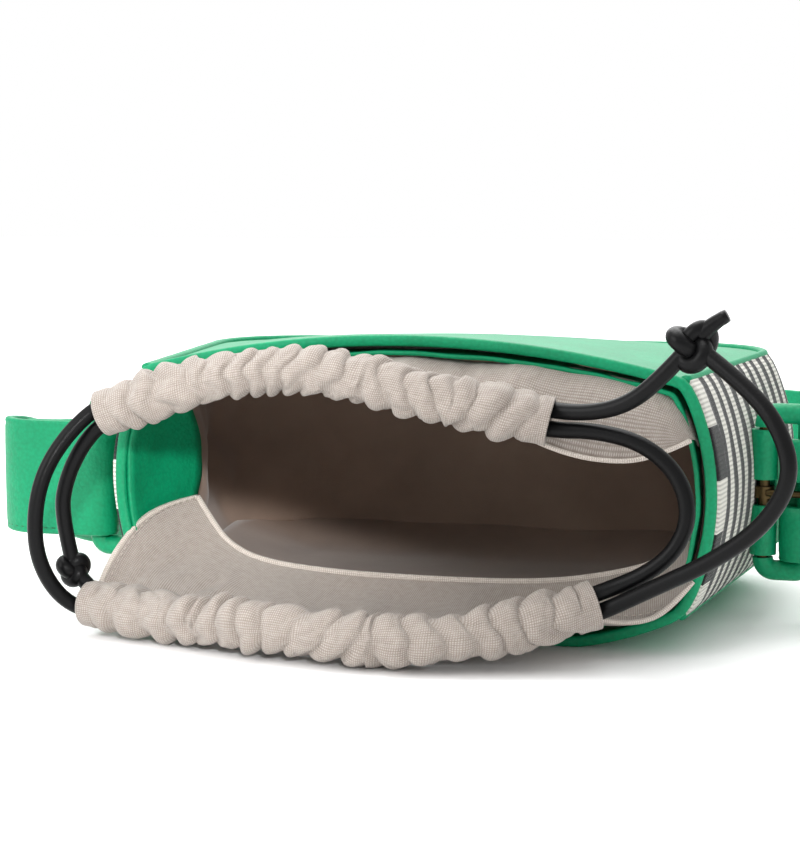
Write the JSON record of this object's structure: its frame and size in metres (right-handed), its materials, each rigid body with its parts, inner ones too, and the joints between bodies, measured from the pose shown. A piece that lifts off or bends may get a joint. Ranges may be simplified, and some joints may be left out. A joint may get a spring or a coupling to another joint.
{
  "type": "drawstring crossbody bag",
  "caption": "Small structured crossbody bag lying on its back, with a gathered canvas drawstring collar, leather cords, side rings and a shoulder strap.",
  "frame": {"origin": "centre of the back panel's flat outer face, which lies on the surface", "axes": "+Z from the back panel up to the front panel, +X to the bag's side that has the buckle, +Y from the mouth to the base"},
  "size_m": [0.343, 0.5437, 0.1157],
  "materials": {
    "green_leather": "satin",
    "black_leather": "satin",
    "woven_stripe": "matte",
    "collar_cloth": "matte",
    "lining": "matte",
    "board": "matte",
    "gilt_metal": "polished"
  },
  "bodies": {
    "bag": {"front_panel": "green_leather", "back_panel": "green_leather", "side_gusset": "woven_stripe", "front_board": "board", "front_lining": "lining", "back_board": "board", "back_lining": "lining", "side_lining": "lining", "base_board": "board", "front_piping": "green_leather", "back_piping": "green_leather", "front_rim_binding": "green_leather", "back_rim_binding": "green_leather", "left_rim_binding": "green_leather", "right_rim_binding": "green_leather", "front_facing": "green_leather", "back_facing": "green_leather", "left_facing": "green_leather", "right_facing": "green_leather", "front_casing": "collar_cloth", "back_casing": "collar_cloth", "front_collar": "collar_cloth", "back_collar": "collar_cloth", "outer_cord_front": "black_leather", "outer_cord_back": "black_leather", "outer_cord_left_loop": "black_leather", "outer_cord_upper": "black_leather", "outer_cord_lower": "black_leather", "inner_cord_front": "black_leather", "inner_cord_right_loop": "black_leather", "inner_cord_upper": "black_leather", "inner_cord_back": "black_leather", "left_tab": "green_leather", "right_tab": "green_leather"},
    "left_ring": {"left_ring_wire": "gilt_metal", "left_ring_cover": "green_leather"},
    "strap": {"strap": "green_leather", "strap_keeper": "green_leather"},
    "right_buckle": {"right_buckle_wire": "gilt_metal", "right_buckle_cover": "green_leather"},
    "buckle_prong": {"buckle_prong": "gilt_metal"},
    "right_knot": {"right_knot": "black_leather"},
    "left_knot": {"left_knot": "black_leather"}
  },
  "joints": [
    {"name": "left_ring_swing", "type": "hinge", "parent": "bag", "child": "left_ring", "pos_m": [-0.11195, -0.037, 0.046], "axis": [0, 0, 1], "range_deg": [-15, 15]},
    {"name": "strap_swing", "type": "hinge", "parent": "left_ring", "child": "strap", "pos_m": [-0.12646, -0.037, 0.046], "axis": [0, 0, 1], "range_deg": [-15, 15]},
    {"name": "right_buckle_swing", "type": "hinge", "parent": "bag", "child": "right_buckle", "pos_m": [0.11356, -0.025, 0.046], "axis": [0, 0, 1], "range_deg": [-15, 15]},
    {"name": "buckle_prong_lift", "type": "hinge", "parent": "right_buckle", "child": "buckle_prong", "pos_m": [0.11356, -0.025, 0.046], "axis": [0, 0, 1], "range_deg": [-30, 0]},
    {"name": "right_knot_pull", "type": "slide", "parent": "bag", "child": "right_knot", "axis": [0.6692, -0.139, 0.73], "range_m": [0, 0.025], "deforming": ["outer_cord_upper", "outer_cord_lower"]},
    {"name": "left_knot_pull", "type": "slide", "parent": "bag", "child": "left_knot", "axis": [-0.771, 0.0771, -0.6322], "range_m": [0, 0.02], "deforming": ["inner_cord_upper", "inner_cord_back"]}
  ],
  "couplings": [
    {"joint": "left_ring_swing", "follows": "strap_swing", "ratio": -1},
    {"joint": "right_buckle_swing", "follows": "strap_swing", "ratio": 1}
  ]
}
